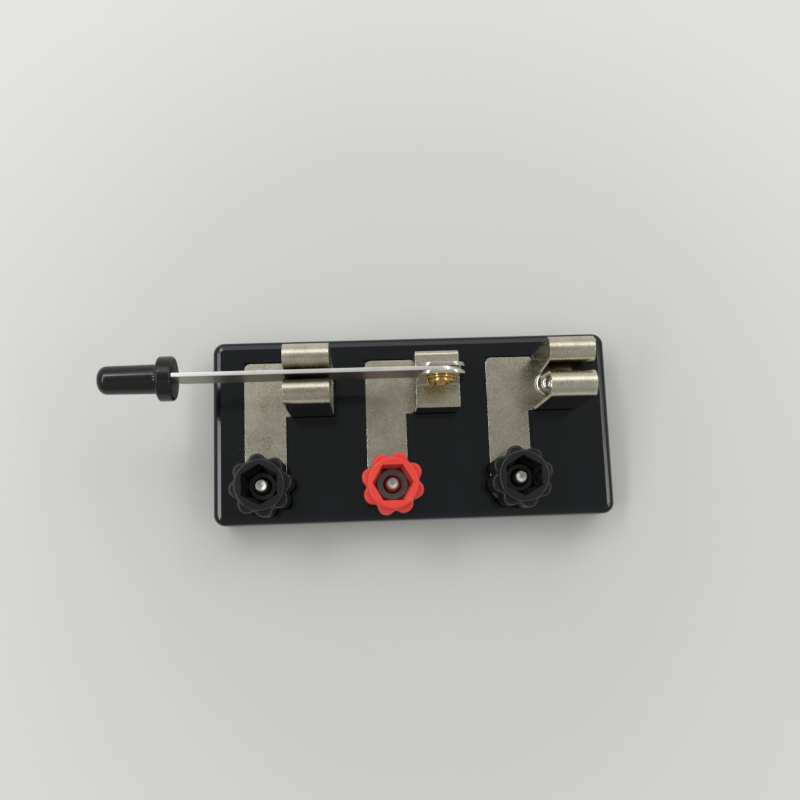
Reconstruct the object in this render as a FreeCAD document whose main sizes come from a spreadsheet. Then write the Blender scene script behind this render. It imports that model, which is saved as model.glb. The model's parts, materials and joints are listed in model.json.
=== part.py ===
import FreeCAD, Part
import Sketcher
import math
import os

V = FreeCAD.Vector

# Single-pole double-throw knife switch on a moulded base.
# Frame: +X along the base (the blade lies towards -X at rest), +Y towards the
# back (the jaws), +Z up.  Origin: middle of the base's underside.  Millimetres.

doc = FreeCAD.newDocument("knife_switch")

# ---------------------------------------------------------------- dimensions
DIMS = [
    # moulded base
    ("base_len", 105.7), ("base_dep", 48.8), ("base_hgt", 12.2),
    ("base_corner", 3.0), ("base_rim", 1.5), ("rim_band", 2.1), ("rim_drop", 0.37), ("base_wall", 2.2),
    ("base_ceiling", 9.4), ("rib_thk", 1.6), ("rib_gap", 33.0),
    ("recess_floor", 11.2), ("recess_gap", 1.05), ("recess_fit", 0.15),
    ("boss_dia", 10.0), ("boss_low", 4.0),
    ("stud_bore", 4.2), ("fix_bore", 3.7),
    # sheet-metal contacts
    ("sheet", 0.8), ("mid_y", 11.05), ("fold_half", 7.45), ("back_half", 7.25),
    ("fold_rad", 1.2), ("arm_wid", 11.16), ("strip_wid", 10.88), ("strip_arm", 12.41),
    ("mid_strip_wid", 10.6), ("mid_strip_arm", 13.0),
    ("strip_front", -19.9), ("strip_round", 1.6), ("strip_end_round", 3.2), ("neck_round", 1.4),
    ("arm_left", -32.05), ("arm_mid", 0.75), ("arm_right", 32.70),
    # jaws
    ("roll_z", 34.5), ("roll_half_gap", 1.03), ("leg_half_gap", 0.30), ("leg_z", 23.5),
    # pivot bracket
    ("deck_z", 23.0), ("deck_rad", 1.2), ("ear_top", 38.3), ("ear_round", 3.0),
    ("ear_gap", 0.55), ("pivot_x", 6.3), ("pivot_z", 33.0), ("pivot_bore", 4.04),
    # blade and handle
    ("blade_thk", 1.0), ("blade_hgt", 10.2), ("blade_bore", 4.1), ("blade_reach", 64.6),
    ("tang_len", 12.0), ("tang_hgt", 6.0), ("blade_cham", 1.1),
    ("grip_dia", 7.3), ("grip_tip_dia", 7.0), ("flange_dia", 11.0), ("flange_thk", 3.9),
    ("handle_len", 18.6), ("flange_round", 0.7), ("tip_round", 2.3),
    # terminals
    ("stud_dia", 4.0), ("stud_top", 22.0), ("stud_head_dia", 7.6), ("stud_head_hgt", 2.6),
    ("stud_left_x", -39.1), ("stud_mid_x", -6.05), ("stud_right_x", 26.65),
    ("stud_left_y", -14.8), ("stud_mid_y", -15.35), ("stud_right_y", -14.65), ("stud_cham", 0.25),
    ("nut_af", 7.0), ("nut_af_mid", 7.9), ("clamp_nut_thk", 2.2), ("knob_nut_thk", 3.1), ("nut_bore", 4.1),
    ("washer_dia", 9.0), ("washer_thk", 0.8), ("washer_bore", 4.3),
    ("knob_low", 15.0), ("knob_lobe_top", 24.4), ("knob_top", 27.0), ("knob_nut_low", 15.6),
    ("lobe_centre", 5.7), ("lobe_rad", 2.3), ("valley_rad", 1.0227), ("valley_bottom", 6.75),
    ("collar_dia", 12.8), ("pocket_af", 8.9), ("socket_af", 7.0), ("socket_af_mid", 7.9), ("knob_bore", 4.7),
    # rivets
    ("rivet_dia", 4.0), ("rivet_hole", 3.1), ("rivet_head", 6.8), ("rivet_head_thk", 1.2), ("rivet_tail", 5.2), ("rivet_tail_thk", 0.5),
    ("pivot_washer_dia", 7.4), ("pivot_washer_thk", 0.5),
    ("fix_dia", 3.6), ("fix_dish", 3.0), ("fix_head", 6.8), ("fix_head_thk", 1.1),
    ("fix_flare", 5.4), ("fix_from_arm", 4.05), ("fix_y", 10.7),
]
sheet = doc.addObject("Spreadsheet::Sheet", "Dims")
for row, (alias, number) in enumerate(DIMS, 1):
    sheet.set("A%d" % row, alias)
    sheet.set("B%d" % row, str(number))
    sheet.setAlias("B%d" % row, alias)
doc.recompute()


class Q:
    """A length that carries its number and the sheet formula it comes from."""

    def __init__(self, v, e):
        self.v = float(v)
        self.e = e

    def __add__(self, o):
        o = q(o)
        return Q(self.v + o.v, "(%s + %s)" % (self.e, o.e))

    def __sub__(self, o):
        o = q(o)
        return Q(self.v - o.v, "(%s - %s)" % (self.e, o.e))

    def __mul__(self, o):
        o = q(o)
        return Q(self.v * o.v, "(%s * %s)" % (self.e, o.e))

    def __truediv__(self, o):
        o = q(o)
        return Q(self.v / o.v, "(%s / %s)" % (self.e, o.e))

    def __neg__(self):
        return q(0) - self


def q(o):
    return o if isinstance(o, Q) else Q(o, "%.9f" % float(o))


NUM = {}
for alias, number in DIMS:
    NUM[alias] = Q(number, "Dims." + alias)


def D(name):
    return NUM[name]


# ------------------------------------------------------------ sketch helpers
def plane(body, role):
    for f in body.Origin.OriginFeatures:
        if f.Role == role:
            return f
    raise ValueError(role)


def make_body(name):
    body = doc.addObject("PartDesign::Body", name)
    body.Label = name
    return body


def sketch(body, name, role="XY_Plane", off=None):
    sk = body.newObject("Sketcher::SketchObject", body.Name + "_" + name)
    sk.AttachmentSupport = [(plane(body, role), "")]
    sk.MapMode = "FlatFace"
    if off is not None:
        off = q(off)
        sk.AttachmentOffset = FreeCAD.Placement(V(0, 0, off.v), FreeCAD.Rotation())
        sk.setExpression("AttachmentOffset.Base.z", off.e)
    return sk


def pin(sk, geo, pos, x, y):
    x, y = q(x), q(y)
    i = sk.addConstraint(Sketcher.Constraint("DistanceX", -1, 1, geo, pos, x.v))
    sk.setExpression("Constraints[%d]" % i, x.e)
    i = sk.addConstraint(Sketcher.Constraint("DistanceY", -1, 1, geo, pos, y.v))
    sk.setExpression("Constraints[%d]" % i, y.e)


def radius(sk, geo, r):
    r = q(r)
    i = sk.addConstraint(Sketcher.Constraint("Radius", geo, r.v))
    sk.setExpression("Constraints[%d]" % i, r.e)


def circle(sk, x, y, r):
    x, y, r = q(x), q(y), q(r)
    g = sk.addGeometry(Part.Circle(V(x.v, y.v, 0), V(0, 0, 1), r.v), False)
    pin(sk, g, 3, x, y)
    radius(sk, g, r)


def outline(sk, pts):
    """Closed wire.  Each entry is (x, y) or (x, y, r): with r the stretch to the
    next point is an arc of that radius, turning left if r > 0, right if r < 0
    (given as a pair (Q, sign))."""
    n = len(pts)
    P = [(q(p[0]), q(p[1])) for p in pts]
    ends = []
    for i in range(n):
        a, b = P[i], P[(i + 1) % n]
        if len(pts[i]) == 2:
            g = sk.addGeometry(Part.LineSegment(V(a[0].v, a[1].v, 0), V(b[0].v, b[1].v, 0)), False)
            ends.append((g, 1, 2))
        else:
            r, sign = pts[i][2]
            r = q(r)
            dx, dy = b[0].v - a[0].v, b[1].v - a[1].v
            chord = math.hypot(dx, dy)
            back = math.sqrt(max(r.v ** 2 - (chord / 2) ** 2, 0.0))
            cx = (a[0].v + b[0].v) / 2 - sign * dy / chord * back
            cy = (a[1].v + b[1].v) / 2 + sign * dx / chord * back
            a0 = math.atan2(a[1].v - cy, a[0].v - cx)
            a1 = math.atan2(b[1].v - cy, b[0].v - cx)
            if sign < 0:
                a0, a1 = a1, a0
            if a1 <= a0:
                a1 += 2 * math.pi
            g = sk.addGeometry(Part.ArcOfCircle(Part.Circle(V(cx, cy, 0), V(0, 0, 1), r.v), a0, a1), False)
            ends.append((g, 1, 2) if sign > 0 else (g, 2, 1))
    for i in range(n):
        g, s, e = ends[i]
        h, s2, e2 = ends[(i + 1) % n]
        sk.addConstraint(Sketcher.Constraint("Coincident", g, e, h, s2))
        pin(sk, g, s, P[i][0], P[i][1])
        if len(pts[i]) == 3:
            radius(sk, g, pts[i][2][0])


def rect(sk, x0, y0, x1, y1):
    outline(sk, [(x0, y0), (x1, y0), (x1, y1), (x0, y1)])


def hexagon(sk, af, rot):
    """Regular hexagon about the origin, across flats af; rot in degrees turns a corner off +X."""
    af = q(af)
    outline(sk, [(af / math.sqrt(3.0) * math.cos(math.radians(rot + 60 * k)),
                  af / math.sqrt(3.0) * math.sin(math.radians(rot + 60 * k))) for k in range(6)])


def pad(body, sk, length, name, rev=False):
    f = body.newObject("PartDesign::Pad", body.Name + "_" + name)
    f.Profile = sk
    length = q(length)
    f.Length = length.v
    f.setExpression("Length", length.e)
    f.Reversed = rev
    doc.recompute()
    return f


def pocket(body, sk, length, name, rev=False):
    before = body.Shape.Volume
    f = body.newObject("PartDesign::Pocket", body.Name + "_" + name)
    f.Profile = sk
    length = q(length)
    f.Length = length.v
    f.setExpression("Length", length.e)
    f.Reversed = rev
    doc.recompute()
    if not body.Shape.Volume < before - 1e-3:
        raise RuntimeError("pocket %s cuts nothing" % f.Name)
    return f


def revolve(body, sk, name):
    f = body.newObject("PartDesign::Revolution", body.Name + "_" + name)
    f.Profile = sk
    f.ReferenceAxis = (sk, ["V_Axis"])
    f.Angle = 360.0
    doc.recompute()
    return f


def edges_where(shape, test):
    return ["Edge%d" % (i + 1) for i, e in enumerate(shape.Edges) if test(e)]


def fillet(body, size, name, test):
    base = body.Tip
    picks = edges_where(base.Shape, test)
    if not picks:
        raise RuntimeError("no edges for %s" % name)
    f = body.newObject("PartDesign::Fillet", body.Name + "_" + name)
    f.Base = (base, picks)
    size = q(size)
    f.Radius = size.v
    f.setExpression("Radius", size.e)
    doc.recompute()
    return f


def chamfer(body, size, name, test):
    base = body.Tip
    picks = edges_where(base.Shape, test)
    if not picks:
        raise RuntimeError("no edges for %s" % name)
    f = body.newObject("PartDesign::Chamfer", body.Name + "_" + name)
    f.Base = (base, picks)
    size = q(size)
    f.Size = size.v
    f.setExpression("Size", size.e)
    doc.recompute()
    return f


def at(obj, x=0, y=0, z=0, rot=None):
    x, y, z = q(x), q(y), q(z)
    obj.Placement = FreeCAD.Placement(V(x.v, y.v, z.v), rot if rot else FreeCAD.Rotation())
    obj.setExpression("Placement.Base.x", x.e)
    obj.setExpression("Placement.Base.y", y.e)
    obj.setExpression("Placement.Base.z", z.e)
    doc.recompute()


def near(a, b, tol=1e-3):
    return abs(a - b) < tol


def vertical_at(x, y, tol=0.05):
    """Edge test: straight edge parallel to Z that passes through (x, y)."""
    def test(e):
        b = e.BoundBox
        return b.XLength < 1e-4 and b.YLength < 1e-4 and near(b.XMin, x, tol) and near(b.YMin, y, tol)
    return test


# ---------------------------------------------------------------- the base
base = make_body("base")
hl, hd = D("base_len") / 2, D("base_dep") / 2
sk = sketch(base, "outline")
rect(sk, -hl, -hd, hl, hd)
pad(base, sk, D("base_hgt"), "block")
fillet(base, D("base_corner"), "corners",
       lambda e: e.BoundBox.XLength < 1e-4 and e.BoundBox.YLength < 1e-4)
# sloping band round the top, then a rounded shoulder
top_edges = lambda z: (lambda e: near(e.BoundBox.ZMin, z, 1e-3) and near(e.BoundBox.ZMax, z, 1e-3))
block = base.Tip
band = base.newObject("PartDesign::Chamfer", "base_rim_band")
band.Base = (block, edges_where(block.Shape, top_edges(D("base_hgt").v)))
band.ChamferType = "Two distances"
for prop, key in (("Size", "rim_band"), ("Size2", "rim_drop")):
    setattr(band, prop, D(key).v)
    band.setExpression(prop, D(key).e)
doc.recompute()
if near(max(f.BoundBox.XMax for f in base.Shape.Faces if near(f.BoundBox.ZMin, D("base_hgt").v, 1e-3)),
        (hl - D("rim_drop")).v, 1e-2):
    band.FlipDirection = True
    doc.recompute()
fillet(base, D("base_rim"), "rim",
       lambda e: near(e.BoundBox.ZMin, (D("base_hgt") - D("rim_drop")).v, 1e-3)
       and near(e.BoundBox.ZMax, (D("base_hgt") - D("rim_drop")).v, 1e-3))
# hollow underside
sk = sketch(base, "hollow")
rect(sk, -hl + D("base_wall"), -hd + D("base_wall"), hl - D("base_wall"), hd - D("base_wall"))
pocket(base, sk, D("base_ceiling"), "hollow_cut", rev=True)
# two cross ribs that end level with the wall's foot
for k, sx in (("a", -0.5), ("b", 0.5)):
    sk = sketch(base, "rib_cross_" + k)
    x0 = D("rib_gap") * sx
    rect(sk, x0, -hd + D("base_wall") - 0.2, x0 + D("rib_thk"), hd - D("base_wall") + 0.2)
    pad(base, sk, D("base_ceiling") + 0.2, "rib_cross_pad_" + k)
# a pad in the middle of the underside, level with the foot, where the base rests
sk = sketch(base, "foot_pad")
circle(sk, 0, 0, 5.0)
pad(base, sk, D("base_ceiling") + 0.2, "foot_pad_pad")
# bosses round the terminal screws
for k in ("left", "mid", "right"):
    sk = sketch(base, "boss_" + k, off=D("boss_low"))
    circle(sk, D("stud_%s_x" % k), D("stud_%s_y" % k), D("boss_dia") / 2)
    pad(base, sk, D("base_ceiling") - D("boss_low") + 0.2, "boss_pad_" + k)
# shallow L-shaped recesses that locate the three contacts
g, fit = D("recess_gap"), D("recess_fit")
for k, wid, arm in (("left", "strip_wid", "strip_arm"), ("mid", "mid_strip_wid", "mid_strip_arm"),
                    ("right", "strip_wid", "strip_arm")):
    ax = D("arm_" + k)
    sx = ax - D(arm)
    sk = sketch(base, "recess_" + k, off=D("base_hgt") + 0.5)
    y0 = D("mid_y") - D("fold_half") - fit
    y1 = D("mid_y") + D("fold_half") + fit
    outline(sk, [(sx - fit, D("strip_front") - 0.6), (sx + D(wid) + g, D("strip_front") - 0.6),
                 (sx + D(wid) + g, y0), (ax + D("arm_wid") + fit, y0),
                 (ax + D("arm_wid") + fit, y1), (sx - fit, y1)])
    pocket(base, sk, D("base_hgt") + 0.5 - D("recess_floor"), "recess_cut_" + k)
# bores: terminal screws and fixing rivets
sk = sketch(base, "bores", off=D("base_hgt") + 0.5)
for k in ("left", "mid", "right"):
    circle(sk, D("stud_%s_x" % k), D("stud_%s_y" % k), D("stud_bore") / 2)
    circle(sk, D("arm_" + k) + D("fix_from_arm"), D("fix_y"), D("fix_bore") / 2)
pocket(base, sk, D("base_hgt") - 0.0, "bores_cut")
at(base)


# ------------------------------------------------------------- the contacts
def contact_plate(body, wid, arm, stud_x, stud_y):
    """Flat part of a contact: terminal strip, neck and the floor between the wings.
    Local X = 0 at the arm's left edge."""
    s0 = -D(arm)
    s1 = s0 + D(wid)
    lowz = D("recess_floor")
    yf = D("mid_y") - D("back_half")
    yb = D("mid_y") + D("back_half")
    f = D("fold_half") - D("fold_rad")
    aw = D("arm_wid")
    sk = sketch(body, "plate", off=lowz)
    outline(sk, [(s0, D("strip_front")), (s1, D("strip_front")), (s1, yf), (q(-0.35), yf),
                 (q(0), D("mid_y") - f), (aw, D("mid_y") - f), (aw, D("mid_y") + f),
                 (q(0), D("mid_y") + f), (q(-0.35), yb), (s0, yb)])
    pad(body, sk, D("sheet"), "plate_pad")
    fillet(body, D("strip_round"), "plate_corner", vertical_at(s0.v, yb.v))
    fillet(body, D("strip_end_round"), "plate_end",
           lambda e: any(vertical_at(cx, D("strip_front").v)(e) for cx in (s0.v, s1.v)))
    sk = sketch(body, "plate_bores", off=lowz + D("sheet") + 0.5)
    circle(sk, stud_x, stud_y, D("stud_bore") / 2)
    circle(sk, D("fix_from_arm"), D("fix_y"), D("fix_bore") / 2)
    pocket(body, sk, D("sheet") + 1.0, "plate_bores_cut")


def jaw_wing(body, side, name):
    """One spring jaw: folded up from the floor, rolled over at the top and
    turned down again to a short inner leg.  side -1 front, +1 back."""
    m, tk = D("mid_y"), D("sheet")
    lowz = D("recess_floor")
    rb = D("fold_rad")
    F = D("fold_half")
    G = D("roll_half_gap")
    R = (F - G) / 2
    zr = D("roll_z")

    def Y(o):
        return m + q(o) * side

    ccw = -1 if side < 0 else 1     # walking up the outside of the wing
    qy = F - R
    pts = [
        (Y(F - rb - 0.6), lowz),
        (Y(F - rb), lowz, (rb, ccw)),
        (Y(F), lowz + rb),
        (Y(F), zr, (R, ccw)),
        (Y(qy), zr + R, (R, ccw)),
        (Y(G), zr),
        (Y(D("leg_half_gap")), D("leg_z")),
        (Y(D("leg_half_gap") + tk), D("leg_z")),
        (Y(G + tk), zr, (R - tk, -ccw)),
        (Y(qy), zr + R - tk, (R - tk, -ccw)),
        (Y(F - tk), zr),
        (Y(F - tk), lowz + rb, (rb - tk, -ccw)),
        (Y(F - rb), lowz + tk),
        (Y(F - rb - 0.6), lowz + tk),
    ]
    sk = sketch(body, name, "YZ_Plane", off=q(0))
    outline(sk, pts)
    pad(body, sk, D("arm_wid"), name + "_pad")


def contact_clip(name, arm_key, stud_key):
    b = make_body(name)
    contact_plate(b, "strip_wid", "strip_arm", D(stud_key + "_x") - D(arm_key), D(stud_key + "_y"))
    jaw_wing(b, -1, "front_jaw")
    jaw_wing(b, 1, "back_jaw")
    at(b, D(arm_key), 0, 0)
    return b


left_clip = contact_clip("left_contact_clip", "arm_left", "stud_left")
right_clip = contact_clip("right_contact_clip", "arm_right", "stud_right")


def ear_wing(body, side, name):
    """One side of the pivot bracket: wall, level deck and upright ear."""
    m, tk = D("mid_y"), D("sheet")
    lowz = D("recess_floor")
    rb, rd = D("fold_rad"), D("deck_rad")
    F = D("fold_half")
    E = D("ear_gap")
    zd, zt = D("deck_z"), D("ear_top")

    def Y(o):
        return m + q(o) * side

    ccw = -1 if side < 0 else 1
    pts = [
        (Y(F - rb - 0.6), lowz),
        (Y(F - rb), lowz, (rb, ccw)),
        (Y(F), lowz + rb),
        (Y(F), zd - rd, (rd, ccw)),
        (Y(F - rd), zd),
        (Y(E + tk + 0.4), zd, (q(0.4), -ccw)),
        (Y(E + tk), zd + 0.4),
        (Y(E + tk), zt),
        (Y(E), zt),
        (Y(E), zd + 0.4, (tk + 0.4, ccw)),
        (Y(E + tk + 0.4), zd - tk),
        (Y(F - rd), zd - tk, (rd - tk, -ccw)),
        (Y(F - tk), zd - rd),
        (Y(F - tk), lowz + rb, (rb - tk, -ccw)),
        (Y(F - rb), lowz + tk),
        (Y(F - rb - 0.6), lowz + tk),
    ]
    sk = sketch(body, name, "YZ_Plane", off=q(0))
    outline(sk, pts)
    pad(body, sk, D("arm_wid"), name + "_pad")


bracket = make_body("pivot_bracket")
contact_plate(bracket, "mid_strip_wid", "mid_strip_arm", D("stud_mid_x") - D("arm_mid"), D("stud_mid_y"))
fillet(bracket, D("neck_round"), "neck_corner", vertical_at(-0.35, (D("mid_y") - D("back_half")).v))
ear_wing(bracket, -1, "front_ear")
ear_wing(bracket, 1, "back_ear")
fillet(bracket, D("ear_round"), "ear_corners",
       lambda e: near(e.BoundBox.ZMin, D("ear_top").v) and near(e.BoundBox.ZMax, D("ear_top").v)
       and e.BoundBox.XLength < 1e-4)
sk = sketch(bracket, "pivot_bore", "XZ_Plane", off=-(D("mid_y") + 9.0))
circle(sk, D("pivot_x") - D("arm_mid"), D("pivot_z"), D("pivot_bore") / 2)
pocket(bracket, sk, q(18.0), "pivot_bore_cut", rev=True)
at(bracket, D("arm_mid"), 0, 0)

# ------------------------------------------------- blade, handle, pivot rivet
# Blade: built about the pivot, X = 0, Z = 0 at the pivot; it reaches towards -X.
blade = make_body("blade")
bh = D("blade_hgt") / 2
L = D("blade_reach")
sk = sketch(blade, "profile", "XZ_Plane", off=-(D("mid_y") + D("blade_thk") / 2))
outline(sk, [(q(0), -bh, (bh, 1)), (bh, q(0), (bh, 1)), (q(0), bh),
             (-L, bh), (-L, D("tang_hgt") / 2), (-L - D("tang_len"), D("tang_hgt") / 2),
             (-L - D("tang_len"), -D("tang_hgt") / 2), (-L, -D("tang_hgt") / 2),
             (-L, -bh + D("blade_cham")), (-L + D("blade_cham"), -bh)])
pad(blade, sk, D("blade_thk"), "profile_pad", rev=False)
sk = sketch(blade, "bore", "XZ_Plane", off=-(D("mid_y") + D("blade_thk")))
circle(sk, 0, 0, D("blade_bore") / 2)
pocket(blade, sk, D("blade_thk") * 2, "bore_cut", rev=True)
at(blade, D("pivot_x"), 0, D("pivot_z"))

# Handle: turned shape about its own axis, which lies along X.
handle = make_body("handle")
HL, FR, GR, TR = D("handle_len"), D("flange_dia") / 2, D("grip_dia") / 2, D("grip_tip_dia") / 2
sk = sketch(handle, "half", "XY_Plane")
fr = D("flange_round")
outline(sk, [(q(0), q(0)), (FR - fr, q(0), (fr, 1)), (FR, fr),
             (FR, D("flange_thk") - fr, (fr, 1)), (FR - fr, D("flange_thk")),
             (GR, D("flange_thk")), (TR, HL - 0.15 - D("tip_round"), (D("tip_round"), 1)),
             (TR - D("tip_round"), HL - 0.15), (q(0), HL)])
revolve(handle, sk, "turned")
# blind slot for the tang
# (the turned body stands along local Y; the slot is cut from the flange face)
sk = sketch(handle, "slot", "XZ_Plane", off=q(0))
rect(sk, -D("tang_hgt") / 2, -D("blade_thk") / 2, D("tang_hgt") / 2, D("blade_thk") / 2)
pocket(handle, sk, D("tang_len"), "slot_cut", rev=False)
# local Y -> -X, local X -> Z, local Z -> -Y
rot = FreeCAD.Rotation(V(0, 0, 1), V(-1, 0, 0), V(0, -1, 0), "XYZ")
at(handle, D("pivot_x") - L, D("mid_y"), D("pivot_z"), rot)

# Pivot rivet: brass tube through both ears and the blade, lips rolled at both ends.
rivet = make_body("pivot_rivet")
ri, ro, rh, rt = D("rivet_hole") / 2, D("rivet_dia") / 2, D("rivet_head") / 2, D("rivet_head_thk")
tr, tt = D("rivet_tail") / 2, D("rivet_tail_thk")
stack = (D("ear_gap") + D("sheet"))
y_front = -stack - D("pivot_washer_thk")
y_back = stack
sk = sketch(rivet, "half", "XY_Plane")
outline(sk, [(ri, y_front - rt * 0.55), (ri + 0.5, y_front - rt), (rh - 0.45, y_front - rt, (q(0.45), 1)),
             (rh, y_front - rt + 0.45), (rh, y_front),
             (ro, y_front), (ro, y_back), (tr, y_back), (tr, y_back + tt - 0.3, (q(0.3), 1)),
             (tr - 0.3, y_back + tt), (ri + 0.3, y_back + tt), (ri, y_back + tt - 0.2)])
revolve(rivet, sk, "turned")
at(rivet, D("pivot_x"), D("mid_y"), D("pivot_z"))

pivot_washer = make_body("pivot_washer")
sk = sketch(pivot_washer, "half", "XY_Plane")
rect(sk, D("pivot_bore") / 2, y_front, D("pivot_washer_dia") / 2, y_front + D("pivot_washer_thk"))
revolve(pivot_washer, sk, "turned")
at(pivot_washer, D("pivot_x"), D("mid_y"), D("pivot_z"))


# ------------------------------------------------------------- fixing rivets
def fixing_rivet(name, arm_key):
    """Round-headed rivet with a shallow dish in its head, closed over under the base."""
    b = make_body(name)
    i, o, hd_, th = D("fix_dish") / 2, D("fix_dia") / 2, D("fix_head") / 2, D("fix_head_thk")
    top = D("recess_floor") + D("sheet")
    low = D("base_ceiling")
    sk = sketch(b, "half", "XZ_Plane")
    outline(sk, [(q(0), low - 0.9), (D("fix_flare") / 2, low - 0.9), (D("fix_flare") / 2, low),
                 (o, low), (o, top), (hd_, top), (hd_, top + 0.35, (q(0.75), 1)),
                 (hd_ - 0.75, top + th), (i + 0.35, top + th), (i, top + th - 0.35),
                 (i, top + 0.1), (q(0.9), top - 0.1), (q(0.55), top + 0.15), (q(0), top + 0.15)])
    revolve(b, sk, "turned")
    at(b, D(arm_key) + D("fix_from_arm"), D("fix_y"), 0)
    return b


rivets = [fixing_rivet("fixing_rivet_left", "arm_left"), fixing_rivet("fixing_rivet_middle", "arm_mid"),
          fixing_rivet("fixing_rivet_right", "arm_right")]


# ---------------------------------------------------------------- terminals
def terminal_stud(name, key):
    """Pan-head screw put in from below; its shank is the terminal stud."""
    b = make_body(name)
    r, rh_ = D("stud_dia") / 2, D("stud_head_dia") / 2
    zt, zb = D("stud_top"), D("boss_low")
    hh = D("stud_head_hgt")
    sk = sketch(b, "half", "XZ_Plane")
    outline(sk, [(q(0), zb - hh), (rh_ - 1.0, zb - hh, (q(1.0), 1)), (rh_, zb - hh + 1.0), (rh_, zb), (r, zb),
                 (r, zt - D("stud_cham")), (r - D("stud_cham"), zt), (q(0), zt)])
    revolve(b, sk, "turned")
    sk = sketch(b, "drive", off=zb - hh)
    rect(sk, -rh_ - 0.5, q(-0.5), rh_ + 0.5, q(0.5))
    pocket(b, sk, q(1.1), "drive_cut", rev=True)
    at(b, D(key + "_x"), D(key + "_y"), 0)
    return b


def hex_nut(name, key, low, thick, af):
    b = make_body(name)
    sk = sketch(b, "hex", off=low)
    hexagon(sk, af, 0 if "mid" in key else 30)
    pad(b, sk, thick, "hex_pad")
    sk = sketch(b, "bore", off=low + thick + 0.5)
    circle(sk, 0, 0, D("nut_bore") / 2)
    pocket(b, sk, thick + 1.0, "bore_cut")
    at(b, D(key + "_x"), D(key + "_y"), 0)
    return b


def lead_washer(name, key):
    b = make_body(name)
    low = D("recess_floor") + D("sheet") + D("clamp_nut_thk")
    sk = sketch(b, "half", "XZ_Plane")
    rect(sk, D("washer_bore") / 2, low, D("washer_dia") / 2, low + D("washer_thk"))
    revolve(b, sk, "turned")
    at(b, D(key + "_x"), D(key + "_y"), 0)
    return b


def knob(name, key, turn):
    """Lobed clamping knob with a raised collar and a hexagonal well for its nut."""
    b = make_body(name)
    lc, lr, vr = D("lobe_centre"), D("lobe_rad"), D("valley_rad")
    vc = D("valley_bottom") + vr
    pts = []
    for k in range(8):
        a = math.radians(45.0 * k + turn)
        # junctions lie on the line between lobe centre and valley centre
        for s in (-1, 1):
            av = a + s * math.radians(22.5)
            f = lr / (lr + vr)
            x = lc * math.cos(a) * (q(1) - f) + vc * math.cos(av) * f
            y = lc * math.sin(a) * (q(1) - f) + vc * math.sin(av) * f
            if s < 0:
                pts.append((x, y, (lr, 1)))
            else:
                pts.append((x, y, (vr, -1)))
    sk = sketch(b, "lobes", off=D("knob_low"))
    outline(sk, pts)
    pad(b, sk, D("knob_lobe_top") - D("knob_low"), "lobes_pad")
    zt = D("knob_lobe_top").v
    fillet(b, q(0.6), "lobe_edge", lambda e: near(e.BoundBox.ZMin, zt) and near(e.BoundBox.ZMax, zt))
    sk = sketch(b, "collar", off=D("knob_lobe_top") - 0.5)
    circle(sk, 0, 0, D("collar_dia") / 2)
    pad(b, sk, D("knob_top") - D("knob_lobe_top") + 0.5, "collar_pad")
    zc = D("knob_top").v
    fillet(b, q(0.5), "collar_edge", lambda e: near(e.BoundBox.ZMin, zc) and near(e.BoundBox.ZMax, zc))
    rot_hex = 0 if "mid" in key else 30
    socket = D("socket_af_mid") if "mid" in key else D("socket_af")
    sk1 = sketch(b, "well_top", off=D("knob_top"))
    hexagon(sk1, D("pocket_af"), rot_hex)
    sk2 = sketch(b, "well_low", off=D("knob_nut_low") + D("knob_nut_thk"))
    hexagon(sk2, socket, rot_hex)
    before = b.Shape.Volume
    loft = b.newObject("PartDesign::SubtractiveLoft", b.Name + "_well")
    loft.Profile = sk1
    loft.Sections = [sk2]
    loft.Ruled = True
    doc.recompute()
    if not b.Shape.Volume < before - 1:
        raise RuntimeError("well cuts nothing")
    sk = sketch(b, "socket", off=D("knob_nut_low") + D("knob_nut_thk") + 0.01)
    hexagon(sk, socket, rot_hex)
    pocket(b, sk, D("knob_nut_thk") + 0.01, "socket_cut")
    sk = sketch(b, "bore", off=D("knob_nut_low") + 0.5)
    circle(sk, 0, 0, D("knob_bore") / 2)
    pocket(b, sk, D("knob_nut_low") - D("knob_low") + 1.0, "bore_cut")
    at(b, D(key + "_x"), D(key + "_y"), 0)
    return b


terminals = []
for word, key, turn in (("left", "stud_left", 8.0), ("middle", "stud_mid", 28.0), ("right", "stud_right", 14.0)):
    terminals.append(terminal_stud("terminal_stud_" + word, key))
    terminals.append(hex_nut("clamp_nut_" + word, key, D("recess_floor") + D("sheet"),
                             D("clamp_nut_thk"), D("nut_af")))
    terminals.append(lead_washer("lead_washer_" + word, key))
    terminals.append(knob("knob_" + word, key, turn))
    terminals.append(hex_nut("knob_nut_" + word, key, D("knob_nut_low"), D("knob_nut_thk"),
                             D("nut_af_mid") if word == "middle" else D("nut_af")))

# ------------------------------------------------------------------- checks
doc.recompute()
bad = []
for obj in doc.Objects:
    st = [s for s in obj.State if s in ("Invalid", "Error")]
    if st:
        bad.append((obj.Name, st))
parts = [base, left_clip, right_clip, bracket, blade, handle, rivet, pivot_washer] + rivets + terminals
for p in parts:
    if p.Shape.isNull() or not p.Shape.isValid() or p.Shape.Volume <= 0 or len(p.Shape.Solids) != 1:
        bad.append((p.Label, "shape", len(p.Shape.Solids)))
if bad:
    raise RuntimeError("failed objects: %r" % bad)

os.makedirs("parts", exist_ok=True)
for p in parts:
    p.Shape.exportStep(os.path.join("parts", p.Label + ".step"))
    bb = p.Shape.BoundBox
    print("%-24s vol %9.2f  x %7.2f %7.2f  y %7.2f %7.2f  z %6.2f %6.2f" % (
        p.Label, p.Shape.Volume, bb.XMin, bb.XMax, bb.YMin, bb.YMax, bb.ZMin, bb.ZMax))
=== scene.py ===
import bpy
import bmesh
import json
import math
from math import radians, pi, sin, cos
from mathutils import Vector, Matrix

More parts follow.
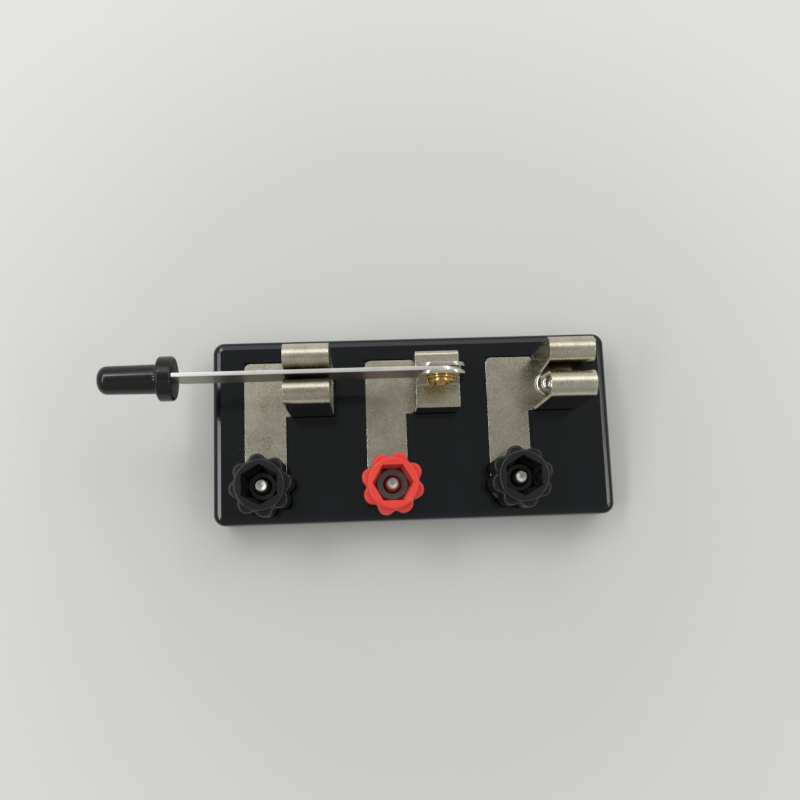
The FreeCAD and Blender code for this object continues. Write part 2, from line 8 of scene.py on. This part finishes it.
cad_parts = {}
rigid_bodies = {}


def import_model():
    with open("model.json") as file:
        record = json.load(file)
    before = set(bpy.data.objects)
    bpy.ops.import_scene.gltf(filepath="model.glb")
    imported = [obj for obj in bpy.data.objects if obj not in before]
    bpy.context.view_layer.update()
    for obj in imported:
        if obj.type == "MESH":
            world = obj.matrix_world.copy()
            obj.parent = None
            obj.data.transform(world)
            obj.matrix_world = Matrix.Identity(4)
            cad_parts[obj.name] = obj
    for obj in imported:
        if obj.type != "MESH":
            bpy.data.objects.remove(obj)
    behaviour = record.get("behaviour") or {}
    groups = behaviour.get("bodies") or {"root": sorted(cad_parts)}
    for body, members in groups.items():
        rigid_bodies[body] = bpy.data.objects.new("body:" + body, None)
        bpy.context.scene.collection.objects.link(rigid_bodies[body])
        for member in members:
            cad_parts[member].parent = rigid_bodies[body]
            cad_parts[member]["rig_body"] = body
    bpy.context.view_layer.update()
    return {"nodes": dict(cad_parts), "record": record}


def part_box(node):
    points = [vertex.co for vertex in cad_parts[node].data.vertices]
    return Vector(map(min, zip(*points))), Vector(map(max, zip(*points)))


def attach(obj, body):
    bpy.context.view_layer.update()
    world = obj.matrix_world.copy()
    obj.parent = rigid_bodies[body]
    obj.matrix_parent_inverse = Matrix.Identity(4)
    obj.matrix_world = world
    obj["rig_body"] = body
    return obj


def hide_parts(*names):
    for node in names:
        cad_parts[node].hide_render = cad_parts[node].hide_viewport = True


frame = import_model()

MM = 0.001
scene = bpy.context.scene
NODES = frame["nodes"]
BODY_OF = {n: o["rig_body"] for n, o in NODES.items()}
SLOT_OF = {s["node"]: s["material_slot"] for s in frame["record"]["subparts"]}


# ------------------------------------------------------------------ materials
class Graph:
    """Short names for the shader nodes that the materials are made of."""

    def __init__(self, name):
        self.mat = bpy.data.materials.new(name)
        self.mat.use_nodes = True
        self.nt = self.mat.node_tree
        self.nt.nodes.clear()
        out = self.nt.nodes.new("ShaderNodeOutputMaterial")
        self.p = self.nt.nodes.new("ShaderNodeBsdfPrincipled")
        self.nt.links.new(self.p.outputs[0], out.inputs[0])
        self.co = self.nt.nodes.new("ShaderNodeTexCoord").outputs["Object"]

    def put(self, sock, v):
        if isinstance(v, bpy.types.NodeSocket):
            self.nt.links.new(v, sock)
        elif isinstance(v, (tuple, list)):
            sock.default_value = tuple(v) + (1.0,) if len(v) == 3 and len(sock.default_value) == 4 else tuple(v)
        else:
            sock.default_value = v

    def mapping(self, scale=(1, 1, 1), rot=(0, 0, 0), vec=None):
        n = self.nt.nodes.new("ShaderNodeMapping")
        n.inputs["Scale"].default_value = scale
        n.inputs["Rotation"].default_value = rot
        self.put(n.inputs["Vector"], vec or self.co)
        return n.outputs[0]

    def noise(self, scale, detail=3.0, rough=0.5, vec=None, dist=0.0):
        n = self.nt.nodes.new("ShaderNodeTexNoise")
        self.put(n.inputs["Vector"], vec or self.co)
        n.inputs["Scale"].default_value = scale
        n.inputs["Detail"].default_value = detail
        n.inputs["Roughness"].default_value = rough
        n.inputs["Distortion"].default_value = dist
        return n.outputs["Fac"]

    def voronoi(self, scale, out="Distance", vec=None, feature="F1"):
        n = self.nt.nodes.new("ShaderNodeTexVoronoi")
        n.feature = feature
        self.put(n.inputs["Vector"], vec or self.co)
        n.inputs["Scale"].default_value = scale
        return n.outputs[out]

    def ramp(self, fac, *stops):
        """stops: (position, value or colour)"""
        n = self.nt.nodes.new("ShaderNodeValToRGB")
        self.put(n.inputs[0], fac)
        el = n.color_ramp.elements
        while len(el) < len(stops):
            el.new(0.5)
        for e, (pos, c) in zip(el, stops):
            e.position = pos
            e.color = (c, c, c, 1) if isinstance(c, (int, float)) else tuple(c) + (1,)
        return n.outputs[0]

    def math(self, op, a, b=0.0, c=None):
        n = self.nt.nodes.new("ShaderNodeMath")
        n.operation = op
        self.put(n.inputs[0], a)
        self.put(n.inputs[1], b)
        if c is not None:
            self.put(n.inputs[2], c)
        return n.outputs[0]

    def span(self, fac, lo, hi, a=0.0, b=1.0):
        """fac from a..b mapped to lo..hi"""
        n = self.nt.nodes.new("ShaderNodeMapRange")
        self.put(n.inputs["Value"], fac)
        n.inputs["From Min"].default_value = a
        n.inputs["From Max"].default_value = b
        n.inputs["To Min"].default_value = lo
        n.inputs["To Max"].default_value = hi
        return n.outputs[0]

    def mix(self, fac, a, b, blend="MIX"):
        n = self.nt.nodes.new("ShaderNodeMix")
        n.data_type = "RGBA"
        n.blend_type = blend
        self.put(n.inputs[0], fac)
        self.put(n.inputs[6], a)
        self.put(n.inputs[7], b)
        return n.outputs[2]

    def attr(self, name):
        n = self.nt.nodes.new("ShaderNodeAttribute")
        n.attribute_name = name
        return n.outputs["Fac"]

    def bump(self, height, dist, strength=1.0, normal=None):
        n = self.nt.nodes.new("ShaderNodeBump")
        n.inputs["Strength"].default_value = strength
        n.inputs["Distance"].default_value = dist
        self.put(n.inputs["Height"], height)
        if normal is not None:
            self.put(n.inputs["Normal"], normal)
        return n.outputs[0]

    def set(self, **kw):
        for k, v in kw.items():
            self.put(self.p.inputs[k.replace("_", " ")], v)
        return self.mat


def black_plastic(name, dark, light, r0, r1, grain=900.0, grain_h=3e-6, dust=0.5):
    g = Graph(name)
    cloud = g.noise(55.0, 5.0, 0.6)
    fine = g.noise(grain, 3.0, 0.5)
    col = g.mix(cloud, dark, light)
    # a little settled dust: sparse specks, some cells only
    cell = g.voronoi(520.0)
    pick = g.noise(210.0, 1.0, 0.3)
    speck = g.math("MULTIPLY", g.ramp(cell, (0.03, 1.0), (0.06, 0.0)), g.ramp(pick, (0.56, 0.0), (0.60, 1.0)))
    speck = g.math("MULTIPLY", speck, dust)
    col = g.mix(speck, col, (0.16, 0.16, 0.15))
    # hairline rubbing marks
    rub = g.noise(1.0, 2.0, 0.5, g.mapping((35.0, 2200.0, 35.0), (0, 0, 0.5)))
    rub = g.ramp(rub, (0.62, 0.0), (0.72, 1.0))
    rough = g.span(cloud, r0, r1, 0.3, 0.7)
    rough = g.math("ADD", rough, g.math("MULTIPLY", rub, 0.05))
    rough = g.math("ADD", rough, g.math("MULTIPLY", g.attr("edge"), 0.04))
    rough = g.math("ADD", rough, g.math("MULTIPLY", speck, 0.4))
    nrm = g.bump(g.noise(95.0, 2.0, 0.4), 2.2e-5)
    nrm = g.bump(fine, grain_h, 1.0, nrm)
    return g.set(Base_Color=col, Roughness=rough, Normal=nrm, IOR=1.48)


def red_plastic(name):
    g = Graph(name)
    cloud = g.noise(140.0, 4.0, 0.55)
    col = g.mix(cloud, (0.84, 0.050, 0.038), (0.93, 0.085, 0.066))
    swirl = g.noise(1.0, 3.0, 0.6, g.mapping((260.0, 260.0, 900.0)), 1.5)
    col = g.mix(g.ramp(swirl, (0.55, 0.0), (0.75, 0.22)), col, (0.98, 0.15, 0.11))
    # painted highlight: the rounded edges (edge = 1) are painted a brighter red
    col = g.mix(g.math("MULTIPLY", g.attr("edge"), 0.35), col, (1.0, 0.20, 0.15))
    rough = g.span(g.noise(420.0, 3.0, 0.5), 0.18, 0.30, 0.3, 0.7)
    nrm = g.bump(g.noise(1500.0, 3.0, 0.5), 3e-6)
    return g.set(Base_Color=col, Roughness=rough, Normal=nrm, IOR=1.48,
                 Subsurface_Weight=0.12, Subsurface_Radius=(0.0012, 0.0003, 0.0002), Subsurface_Scale=1.0)


def metal(name, dark, light, bright, r0, r1, speck=2600.0, height=1.6e-6, brushed=None, tarnish=0.45, sparkle=0.35, glint=0.15):
    """Plated or bare metal. brushed: mapping scales that stretch the grain."""
    g = Graph(name)
    vec = g.mapping(brushed) if brushed else None
    cloud = g.noise(85.0, 5.0, 0.6)
    grain = g.noise(1.0 if brushed else speck, 4.0, 0.6, vec)
    tone = g.math("ADD", g.math("MULTIPLY", grain, sparkle), g.math("MULTIPLY", cloud, 1.0 - sparkle))
    col = g.mix(g.ramp(tone, (0.34, 0.0), (0.64, 1.0)), dark, light)
    # painted glints: fine bright points of painted highlight over the grained sheet
    col = g.mix(g.ramp(g.noise(3600.0, 2.0, 0.5), (0.56, 0.0), (0.70, glint)), col, bright)
    # thin interference tints in the plating: greenish and rosy clouds
    tint = g.noise(130.0, 4.0, 0.6, None, 0.8)
    col = g.mix(g.ramp(tint, (0.30, 0.30), (0.46, 0.0)), col, (dark[0] * 0.86, dark[1] * 1.02, dark[2] * 0.92))
    col = g.mix(g.ramp(tint, (0.56, 0.0), (0.70, 0.30)), col, (dark[0] * 1.10, dark[1] * 0.92, dark[2] * 0.90))
    # tarnish gathered in patches
    tar = g.ramp(g.noise(46.0, 6.0, 0.66, None, 0.5), (0.50, 0.0), (0.72, tarnish))
    col = g.mix(tar, col, tuple(c * 0.66 for c in dark))
    # short fine scratches in two directions
    sc = g.noise(1.0, 2.0, 0.5, g.mapping((90.0, 3600.0, 90.0), (0, 0, 0.35)))
    sc2 = g.noise(1.0, 2.0, 0.5, g.mapping((3400.0, 80.0, 80.0), (0, 0, -0.2)))
    scr = g.math("ADD", g.ramp(sc, (0.64, 0.0), (0.72, 0.5)), g.ramp(sc2, (0.65, 0.0), (0.73, 0.5)))
    # painted highlight: the rounded edges (edge = 1) are painted in the bright colour
    edge = g.attr("edge")
    col = g.mix(g.math("MULTIPLY", edge, 0.8), col, bright)
    rough = g.span(g.math("ADD", g.math("MULTIPLY", grain, 0.5), g.math("MULTIPLY", cloud, 0.5)), r0, r1, 0.3, 0.7)
    rough = g.math("ADD", rough, g.math("MULTIPLY", tar, 0.14))
    rough = g.math("ADD", rough, g.math("MULTIPLY", scr, 0.06))
    rough = g.math("SUBTRACT", rough, g.math("MULTIPLY", edge, 0.05))
    # upright walls were not stretched, so smoother; their colour is painted darker as a painted reflection of the dark
    # base
    wall = g.attr("wall")
    col = g.mix(g.math("MULTIPLY", wall, 0.32), col, (0.24, 0.225, 0.185))
    rough = g.math("SUBTRACT", rough, g.math("MULTIPLY", wall, 0.13))
    rough = g.math("MAXIMUM", rough, 0.06)
    nrm = g.bump(g.noise(120.0, 2.0, 0.4), 1.3e-5)
    nrm = g.bump(g.math("MULTIPLY", grain, g.math("SUBTRACT", 1.0, g.math("MULTIPLY", wall, 0.8))), height, 1.0, nrm)
    return g.set(Base_Color=col, Roughness=rough, Metallic=1.0, Normal=nrm)


def screw_metal(name):
    g = Graph(name)
    cloud = g.noise(300.0, 4.0, 0.6)
    col = g.mix(cloud, (0.46, 0.44, 0.40), (0.62, 0.60, 0.56))
    # painted shade: the thread roots are painted darker
    root = g.attr("root")
    col = g.mix(root, col, (0.10, 0.09, 0.075))
    # painted highlight: the rounded edges are painted lighter
    col = g.mix(g.attr("edge"), col, (0.78, 0.77, 0.73))
    rough = g.span(g.noise(1500.0, 4.0, 0.6), 0.20, 0.40, 0.3, 0.7)
    nrm = g.bump(g.noise(900.0, 3.0, 0.5), 6e-6)
    return g.set(Base_Color=col, Roughness=rough, Metallic=1.0, Normal=nrm)


MAT = {
    "base_plastic": black_plastic("base_plastic_look", (0.0034, 0.0050, 0.0062), (0.0052, 0.0074, 0.0090), 0.085, 0.15, grain_h=1.5e-6),
    "handle_plastic": black_plastic("handle_plastic_look", (0.0045, 0.0047, 0.0050), (0.0090, 0.0092, 0.0094), 0.10, 0.18, grain_h=2e-6, dust=0.25),
    "knob_black": black_plastic("knob_black_look", (0.0085, 0.0095, 0.0100), (0.0140, 0.0152, 0.0160), 0.12, 0.22, grain_h=2e-6, dust=0.35),
    "knob_red": red_plastic("knob_red_look"),
    "nickel_plate": metal("nickel_plate_look", (0.46, 0.425, 0.325), (0.73, 0.69, 0.555), (0.90, 0.88, 0.80), 0.20, 0.32, speck=2300.0, height=4.0e-6, sparkle=0.5, glint=0.3),
    "blade_steel": metal("blade_steel_look", (0.28, 0.265, 0.215), (0.44, 0.42, 0.35), (0.98, 0.975, 0.95), 0.30, 0.42,
                         brushed=(45.0, 2600.0, 2600.0), height=2e-6, tarnish=0.25),
    "brass": metal("brass_look", (0.48, 0.31, 0.095), (0.68, 0.46, 0.16), (0.82, 0.60, 0.25), 0.14, 0.26, speck=3000.0, tarnish=0.3),
    "rivet_steel": metal("rivet_steel_look", (0.66, 0.65, 0.60), (0.84, 0.83, 0.79), (0.93, 0.92, 0.89), 0.10, 0.20, speck=3000.0, tarnish=0.2),
    "nut_steel": metal("nut_steel_look", (0.16, 0.148, 0.138), (0.28, 0.263, 0.245), (0.40, 0.38, 0.355), 0.26, 0.42, speck=2000.0, height=4e-6),
    # painted shade: a darker copy of the nut steel, for the nuts down in the shaded knob wells
    "nut_dark": metal("nut_shaded_look", (0.035, 0.033, 0.031), (0.075, 0.071, 0.066), (0.13, 0.125, 0.12), 0.26, 0.40, speck=2000.0, height=4e-6),
    "screw_steel": screw_metal("screw_steel_look"),
}


# ------------------------------------------------------------------- geometry
def finish_piece(name, bm, node, smooth=32.0, weighted=True, crease=None):
    """Turns a bmesh into the shown piece that stands for a CAD node."""
    bmesh.ops.recalc_face_normals(bm, faces=bm.faces)
    me = bpy.data.meshes.new(name)
    bm.to_mesh(me)
    bm.free()
    me.shade_smooth()
    me.set_sharp_from_angle(angle=radians(smooth))
    if crease:
        for e in me.edges:
            if all(crease(me.vertices[i].co) for i in e.vertices):
                e.use_edge_sharp = True
    ob = bpy.data.objects.new(name, me)
    scene.collection.objects.link(ob)
    if weighted:
        wn = ob.modifiers.new("weighted", "WEIGHTED_NORMAL")
        wn.mode = "FACE_AREA"
        wn.weight = 60
        wn.keep_sharp = True
    ob.data.materials.append(MAT[SLOT_OF[node]])
    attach(ob, BODY_OF[node])
    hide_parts(node)
    return ob


def cad_bmesh(node):
    bm = bmesh.new()
    bm.from_mesh(NODES[node].data)
    bmesh.ops.remove_doubles(bm, verts=bm.verts, dist=2e-7)
    bmesh.ops.dissolve_degenerate(bm, dist=1e-7, edges=bm.edges)
    bmesh.ops.dissolve_limit(bm, angle_limit=radians(0.4), use_dissolve_boundaries=False,
                             verts=bm.verts, edges=bm.edges)
    return bm


def round_edges(bm, width, segs=2, over=32.0, test=None):
    """Small real radii on the sharp edges; the new faces carry edge = 1, which the materials use for roughness and for
    painted edge highlights.
    """
    lay = bm.faces.layers.float.get("edge") or bm.faces.layers.float.new("edge")
    picks = [e for e in bm.edges if len(e.link_faces) == 2 and e.calc_face_angle(0.0) > radians(over)
             and (test is None or test(e))]
    before = set(bm.faces)
    res = bmesh.ops.bevel(bm, geom=picks, offset=width * MM, offset_type="OFFSET", segments=segs,
                          profile=0.5, affect="EDGES", clamp_overlap=True, miter_outer="SHARP",
                          miter_inner="SHARP", loop_slide=True)
    for f in res["faces"]:
        if f.is_valid and f not in before:
            f[lay] = 1.0
    return bm


def refine(node, width, segs=2, over=32.0, test=None, smooth=32.0):
    bm = cad_bmesh(node)
    round_edges(bm, width, segs, over, test)
    return finish_piece(node + "_piece", bm, node, smooth)


def contact(node):
    """Folded contact: rounded sheet edges; the upright walls carry wall = 1, which the metal paints darker as a
    painted reflection of the dark base.
    """
    bm = cad_bmesh(node)
    wall = bm.faces.layers.float.new("wall")
    round_edges(bm, 0.11, 2)
    bm.normal_update()
    for f in bm.faces:
        up = f.calc_center_median().z > 13.2 * MM
        f[wall] = 1.0 if up and abs(f.normal.z) < 0.12 and abs(f.normal.y) > 0.8 else 0.0
    return finish_piece(node + "_piece", bm, node)


def blade_piece(node):
    """Sheared strip: the narrow edges carry edge = 1 and get a painted highlight; the rolled faces stay duller."""
    bm = cad_bmesh(node)
    round_edges(bm, 0.13, 3)
    bm.normal_update()
    lay = bm.faces.layers.float.get("edge")
    # painted highlight: every narrow face of the strip is marked edge = 1
    for f in bm.faces:
        if abs(f.normal.y) < 0.6:
            f[lay] = 1.0
    return finish_piece(node + "_piece", bm, node)


def lathe_rings(bm, profile, centre, segs=72, axis="Z"):
    """Closed surface of revolution from a closed (r, h) profile in mm."""
    rings = []
    for r, h in profile:
        ring = []
        for k in range(segs):
            a = 2 * pi * k / segs
            p = (r * cos(a), r * sin(a), h)
            if axis == "Y":
                p = (r * cos(a), h, r * sin(a))
            ring.append(bm.verts.new((Vector(p) + Vector(centre)) * MM))
        rings.append(ring)
    n = len(rings)
    for i in range(n):
        a, b = rings[i], rings[(i + 1) % n]
        for k in range(segs):
            bm.faces.new((a[k], a[(k + 1) % segs], b[(k + 1) % segs], b[k]))
    return rings


def thread_radius(z, ang, z0, z1, r_out, r_in, pitch):
    """Radius of a V thread with small flats, faded out at both ends."""
    ph = (z / pitch - ang / (2 * pi)) % 1.0
    t = abs(ph - 0.5) * 2.0                      # 0 crest .. 1 root
    t = min(1.0, max(0.0, (t - 0.12) / 0.76))
    fade = min(1.0, max(0.0, (z - z0) / (pitch * 1.2)))
    top = min(1.0, max(0.0, (z1 - z) / 0.5))
    r = r_out - (r_out - r_in) * t * fade
    return min(r, r_out - (1.0 - top) * 0.55), t * fade


def stud(node):
    """Terminal screw: CAD head with its slot, and a shank with a real thread."""
    lo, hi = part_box(node)
    cx, cy = (lo.x + hi.x) / 2 / MM, (lo.y + hi.y) / 2 / MM
    top = hi.z / MM
    bm = cad_bmesh(node)
    cut = 4.6
    bmesh.ops.bisect_plane(bm, geom=bm.verts[:] + bm.edges[:] + bm.faces[:], dist=1e-8,
                           plane_co=(0, 0, cut * MM), plane_no=(0, 0, 1), clear_outer=True)
    round_edges(bm, 0.12, 2, 32.0, lambda e: max(v.co.z for v in e.verts) < 4.3 * MM)
    # root holds the thread depth, which the screw material uses to paint shade into the thread roots
    root = bm.verts.layers.float.new("root")
    loop = [e for e in bm.edges if e.is_boundary]
    segs, pitch = 48, 0.7
    rows = int((top - cut) / (pitch / 10.0))
    prev, first = None, None
    for i in range(rows + 1):
        z = cut + (top - cut) * i / rows
        ring = []
        for k in range(segs):
            a = 2 * pi * k / segs
            r, t = thread_radius(z, a, cut + 0.1, top, 2.0, 1.62, pitch)
            v = bm.verts.new(Vector((cx + r * cos(a), cy + r * sin(a), z)) * MM)
            v[root] = t
            ring.append(v)
        if prev:
            for k in range(segs):
                bm.faces.new((prev[k], prev[(k + 1) % segs], ring[(k + 1) % segs], ring[k]))
        else:
            first = ring
        prev = ring
    # cropped end: a shallow dish with a raised burr to one side
    for f, dz in ((0.80, -0.02), (0.55, -0.10), (0.28, -0.16)):
        ring = []
        for k in range(segs):
            a = 2 * pi * k / segs
            r = 1.42 * f
            ring.append(bm.verts.new(Vector((cx + r * cos(a), cy + r * sin(a),
                                             top + dz + 0.05 * sin(2 * a + 0.7) * (1 - f))) * MM))
        for k in range(segs):
            bm.faces.new((prev[k], prev[(k + 1) % segs], ring[(k + 1) % segs], ring[k]))
        prev = ring
    bm.faces.new(prev)
    ring_edges = [bm.edges.get((first[k], first[(k + 1) % segs])) for k in range(segs)]
    bmesh.ops.bridge_loops(bm, edges=loop + ring_edges)
    bmesh.ops.remove_doubles(bm, verts=bm.verts, dist=6e-7)
    return finish_piece(node + "_piece", bm, node, 40.0)


def nut(node, rot):
    """Hexagon nut with chamfered corners on both faces and countersunk bore."""
    lo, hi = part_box(node)
    cx, cy = (lo.x + hi.x) / 2 / MM, (lo.y + hi.y) / 2 / MM
    z0, z1 = lo.z / MM, hi.z / MM
    # across flats from the box: along X when a corner points to +Y, along Y otherwise
    span = ((hi.x - lo.x) if rot > 0.1 else (hi.y - lo.y)) / MM
    af, bore = span / 2, 4.1 / 2
    rc = af * 0.977
    segs = 96
    slope = math.tan(radians(30))
    bm = bmesh.new()
    lay = bm.faces.layers.float.new("edge")

    def hexr(a):
        b = (a - rot) % (pi / 3) - pi / 6
        return af / cos(b)

    def ring(fn):
        out = []
        for k in range(segs):
            a = rot + 2 * pi * k / segs
            r, z = fn(a)
            out.append(bm.verts.new(Vector((cx + r * cos(a), cy + r * sin(a), z)) * MM))
        return out

    rings = [
        ring(lambda a: (bore, z0 + 0.3)),
        ring(lambda a: (bore + 0.3, z0)),
        ring(lambda a: (rc, z0)),
        ring(lambda a: (hexr(a) - 0.03, z0 + max(0.0, hexr(a) - rc) * slope)),
        ring(lambda a: (hexr(a), z0 + max(0.0, hexr(a) - rc) * slope + 0.05)),
        ring(lambda a: (hexr(a), z1 - max(0.0, hexr(a) - rc) * slope - 0.05)),
        ring(lambda a: (hexr(a) - 0.03, z1 - max(0.0, hexr(a) - rc) * slope)),
        ring(lambda a: (rc, z1)),
        ring(lambda a: (bore + 0.3, z1)),
        ring(lambda a: (bore, z1 - 0.3)),
    ]
    n = len(rings)
    for i in range(n):
        a, b = rings[i], rings[(i + 1) % n]
        for k in range(segs):
            f = bm.faces.new((a[k], a[(k + 1) % segs], b[(k + 1) % segs], b[k]))
            # the chamfer faces carry edge = 0.6, which the metal paints as a painted highlight
            if i in (2, 3, 5, 6):
                f[lay] = 0.6
    return finish_piece(node + "_piece", bm, node, 28.0)


# the moulded base and the folded contacts
bm = cad_bmesh("base")
round_edges(bm, 0.16, 3)
# the sloping band meets the flat top in a crisp line
finish_piece("base_piece", bm, "base", crease=lambda v: v.z > 12.19 * MM and (abs(v.x) > 49.8 * MM or abs(v.y) > 22.2 * MM))
for n in ("left_contact_clip", "right_contact_clip", "pivot_bracket"):
    contact(n)
blade_piece("blade")
refine("handle", 0.12, 2)
refine("pivot_washer", 0.10, 2)
refine("pivot_rivet", 0.08, 2)
for w in ("left", "middle", "right"):
    refine("fixing_rivet_" + w, 0.06, 2)
    refine("lead_washer_" + w, 0.12, 2)
    refine("knob_" + w, 0.14, 3)
    rot = 0.0 if w == "middle" else pi / 6
    nut("clamp_nut_" + w, rot)
    nut("knob_nut_" + w, rot)
    stud("terminal_stud_" + w)


# ------------------------------------------------------------ floor and lights
def floor():
    g = Graph("pale_floor")
    cloud = g.noise(9.0, 5.0, 0.55)
    fine = g.noise(900.0, 3.0, 0.6)
    col = g.mix(cloud, (0.690, 0.700, 0.668), (0.735, 0.742, 0.712))
    # painted shade: the floor is painted darker around the middle of the table, where the switch stands, and paler
    # away from it
    far = g.nt.nodes.new("ShaderNodeVectorMath")
    far.operation = "LENGTH"
    g.put(far.inputs[0], g.co)
    col = g.mix(g.span(far.outputs["Value"], 0.0, 0.75, 0.075, 0.16), col, (0.90, 0.89, 0.862))
    col = g.mix(g.math("MULTIPLY", fine, 0.12), col, (0.50, 0.51, 0.51))
    mat = g.set(Base_Color=col, Roughness=g.span(fine, 0.45, 0.6), Normal=g.bump(fine, 6e-6))
    bm = bmesh.new()
    bmesh.ops.create_grid(bm, x_segments=12, y_segments=12, size=1.6)
    me = bpy.data.meshes.new("floor")
    bm.to_mesh(me)
    bm.free()
    me.materials.append(mat)
    ob = bpy.data.objects.new("floor", me)
    scene.collection.objects.link(ob)


def area(name, place, target, sx, sy, radiance, colour=(1, 1, 1), spin=0.0):
    li = bpy.data.lights.new(name, "AREA")
    li.shape = "RECTANGLE"
    li.size, li.size_y = sx, sy
    li.energy = radiance * pi * sx * sy
    li.color = colour
    ob = bpy.data.objects.new(name, li)
    d = Vector(place) - Vector(target)
    rot = d.to_track_quat("Z", "Y").to_matrix() @ Matrix.Rotation(spin, 3, "Z")
    ob.matrix_world = Matrix.Translation(place) @ rot.to_4x4()
    scene.collection.objects.link(ob)
    return ob


floor()
area("back_panel", (0.05, 0.53, 0.68), (0, 0, 0), 1.1, 0.42, 0.95)
area("left_strip", (-0.43, 0.10, 0.74), (0, 0, 0), 0.9, 0.10, 7.0)
area("right_strip", (0.50, 0.10, 0.70), (0, 0, 0), 0.9, 0.05, 7.5)

world = bpy.data.worlds.new("room")
scene.world = world
world.use_nodes = True
nt = world.node_tree
nt.nodes.clear()
wo = nt.nodes.new("ShaderNodeOutputWorld")
bg = nt.nodes.new("ShaderNodeBackground")
tc = nt.nodes.new("ShaderNodeTexCoord")
sep = nt.nodes.new("ShaderNodeSeparateXYZ")
mr = nt.nodes.new("ShaderNodeMapRange")
nt.links.new(tc.outputs["Generated"], sep.inputs[0])
nt.links.new(sep.outputs["Y"], mr.inputs["Value"])
mr.inputs["From Min"].default_value = -1.0
mr.inputs["From Max"].default_value = 1.0
mr.inputs["To Min"].default_value = 0.34
mr.inputs["To Max"].default_value = 0.64
# the ceiling straight above is darker than the rest of the room
zen = nt.nodes.new("ShaderNodeMapRange")
zen.interpolation_type = "SMOOTHSTEP"
nt.links.new(sep.outputs["Z"], zen.inputs["Value"])
zen.inputs["From Min"].default_value = 0.89
zen.inputs["From Max"].default_value = 0.965
zen.inputs["To Min"].default_value = 1.0
zen.inputs["To Max"].default_value = 0.58
both = nt.nodes.new("ShaderNodeMath")
both.operation = "MULTIPLY"
nt.links.new(mr.outputs[0], both.inputs[0])
nt.links.new(zen.outputs[0], both.inputs[1])
nt.links.new(both.outputs[0], bg.inputs["Strength"])
bg.inputs["Color"].default_value = (1.0, 1.0, 0.985, 1.0)
nt.links.new(bg.outputs[0], wo.inputs[0])

# --------------------------------------------------------------------- camera
cam_data = bpy.data.cameras.new("camera")
cam_data.sensor_width = 36.0
cam_data.lens = 40.1574
cam_data.clip_start = 0.01
cam = bpy.data.objects.new("camera", cam_data)
right = Vector((0.99888, -0.03456, 0.03240))
up = Vector((0.02915, 0.98754, 0.15467))
back = right.cross(up).normalized()
up = back.cross(right).normalized()
right = up.cross(back).normalized()
m = Matrix((right, up, back)).transposed().to_4x4()
m.translation = Vector((-0.01202, -0.02918, 0.24773))
cam.matrix_world = m
scene.collection.objects.link(cam)
scene.camera = cam

scene.view_settings.view_transform = "Standard"
scene.view_settings.look = "None"
